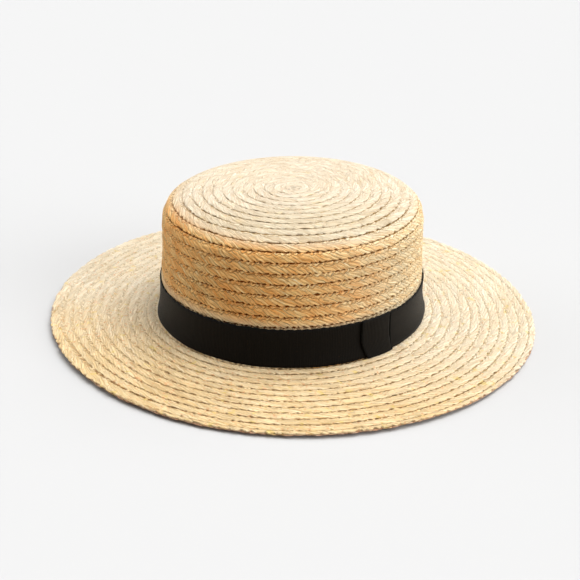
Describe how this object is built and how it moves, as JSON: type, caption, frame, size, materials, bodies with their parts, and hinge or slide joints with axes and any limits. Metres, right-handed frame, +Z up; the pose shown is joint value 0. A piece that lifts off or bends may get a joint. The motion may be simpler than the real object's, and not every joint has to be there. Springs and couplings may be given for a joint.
{
  "type": "straw boater hat",
  "caption": "Oval flat-topped straw hat with a wide, nearly level brim, a dark ribbon round the crown's foot and a folded ribbon tab.",
  "frame": {"origin": "on the surface that the brim lies on, under the middle of the brim", "axes": "+Z up through the crown, -Y towards the hat's front, +X towards the wearer's left, where the ribbon's tab is"},
  "size_m": [0.351, 0.36, 0.0974],
  "materials": {
    "crown_straw": "natural raffia braid, satin",
    "brim_straw": "natural raffia braid, satin",
    "ribbon": "black ribbed ribbon, slight sheen",
    "ribbon_tab": "black ribbed ribbon, slight sheen"
  },
  "bodies": {
    "root": {"crown": "crown_straw", "brim": "brim_straw", "ribbon_band": "ribbon", "ribbon_tab": "ribbon_tab"}
  },
  "joints": []
}
